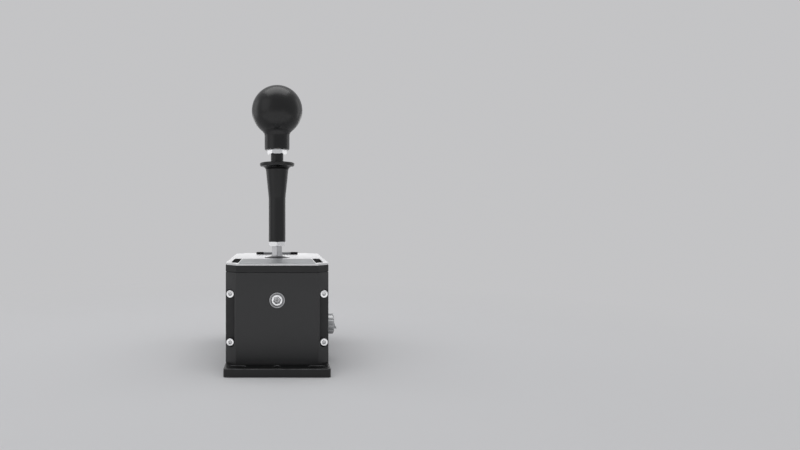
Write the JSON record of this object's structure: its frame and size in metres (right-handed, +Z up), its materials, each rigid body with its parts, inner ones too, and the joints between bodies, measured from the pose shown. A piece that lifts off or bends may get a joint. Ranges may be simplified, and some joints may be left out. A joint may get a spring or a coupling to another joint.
{
  "type": "gear shifter",
  "caption": "Desk or floor mounted gear lever for a driving simulator: ball knob, lift collar and rod on a sprung gimbal in a black box with a silver top plate, front adjuster and slotted base.",
  "frame": {"origin": "centre of the base plate's underside", "axes": "+Z up along the lever at rest, +X to the right side with the selector, front face towards -Y"},
  "size_m": [0.1059, 0.197, 0.2797],
  "materials": {
    "body_black": "satin black anodised",
    "base_black": "satin black anodised",
    "plate_silver": "brushed",
    "band_grey": "satin, bead blasted",
    "strip_dark": "matt",
    "bar_grey": "satin",
    "bright_steel": "bright, zinc plated",
    "dark_steel": "black oxide",
    "ring_steel": "turned",
    "knob_black": "satin",
    "collar_black": "satin black anodised",
    "selector_silver": "turned",
    "brass": "turned",
    "machined": "as machined",
    "spring_steel": "drawn",
    "magnet": "nickel plated",
    "board_green": "solder mask",
    "switch_black": "moulded",
    "socket_black": "moulded"
  },
  "bodies": {
    "housing": {"base_plate": "base_black", "front_panel": "body_black", "rear_panel": "body_black", "left_side_plate": "body_black", "right_side_plate": "body_black", "top_cap": "body_black", "top_plate": "plate_silver", "front_band": "band_grey", "side_strips": "strip_dark", "rear_bar": "bar_grey", "bar_ends": "strip_dark", "front_screws": "bright_steel", "rear_screws": "bright_steel", "base_screws": "dark_steel", "cap_screws": "dark_steel", "adjuster_ring": "ring_steel", "adjuster_clip": "spring_steel", "preload_spring": "spring_steel", "friction_pad": "brass", "pad_tube": "machined", "tube_screws": "dark_steel", "axle_bearings": "bright_steel", "tilt_sensor": "board_green", "gate_plate": "ring_steel", "gate_posts": "machined", "gate_screws": "dark_steel", "selector_bush": "brass", "mode_switch": "switch_black", "control_board": "board_green", "board_posts": "machined", "data_socket": "socket_black"},
    "cradle": {"cradle": "machined", "cradle_axles": "bright_steel", "axle_spacers": "machined", "tilt_magnet": "magnet", "pivot_pins": "bright_steel", "sway_sensor": "board_green", "centring_springs": "spring_steel"},
    "lever": {"lever_block": "machined", "sway_magnet": "magnet", "guide_pin": "bright_steel", "lever_rod": "bright_steel", "dust_dome": "dark_steel", "thin_nut": "bright_steel", "upper_shaft": "collar_black", "jam_nut": "bright_steel", "knob": "knob_black", "knob_insert": "brass", "collar_sensor": "board_green", "spring_washer": "ring_steel", "lift_spring": "spring_steel"},
    "collar": {"lift_collar": "collar_black", "collar_grub": "bright_steel", "pull_rod": "machined", "pull_magnet": "magnet"},
    "adjuster": {"adjuster_screw": "bright_steel"},
    "seat": {"spring_seat": "brass"},
    "selector": {"selector_knob": "selector_silver", "selector_shaft": "ring_steel"}
  },
  "joints": [
    {"name": "cradle_tilt", "type": "hinge", "parent": "housing", "child": "cradle", "pos_m": [0, 0, 0.066], "axis": [1, 0, 0], "range_deg": [-7.5, 7.5]},
    {"name": "lever_sway", "type": "hinge", "parent": "cradle", "child": "lever", "pos_m": [0, 0, 0.066], "axis": [0, 1, 0], "range_deg": [-7.5, 7.5], "stiffness_Nm_per_rad": 3, "deforming": ["centring_springs"]},
    {"name": "collar_lift", "type": "slide", "parent": "lever", "child": "collar", "axis": [0, 0, 1], "range_m": [0, 0.008], "stiffness_N_per_m": 300, "springref_m": -0.01, "deforming": ["lift_spring"]},
    {"name": "adjuster_turn", "type": "hinge", "parent": "housing", "child": "adjuster", "pos_m": [0, -0.0825, 0.066], "axis": [0, 1, 0], "range_deg": [-360, 360]},
    {"name": "seat_slide", "type": "slide", "parent": "housing", "child": "seat", "axis": [0, 1, 0], "range_m": [-0.00125, 0.00125], "deforming": ["preload_spring"]},
    {"name": "selector_turn", "type": "hinge", "parent": "housing", "child": "selector", "pos_m": [0.0475, -0.029, 0.0356], "axis": [1, 0, 0], "range_deg": [0, 90]}
  ],
  "couplings": [
    {"joint": "seat_slide", "follows": "adjuster_turn", "m_per_rad": -0.00019894}
  ]
}
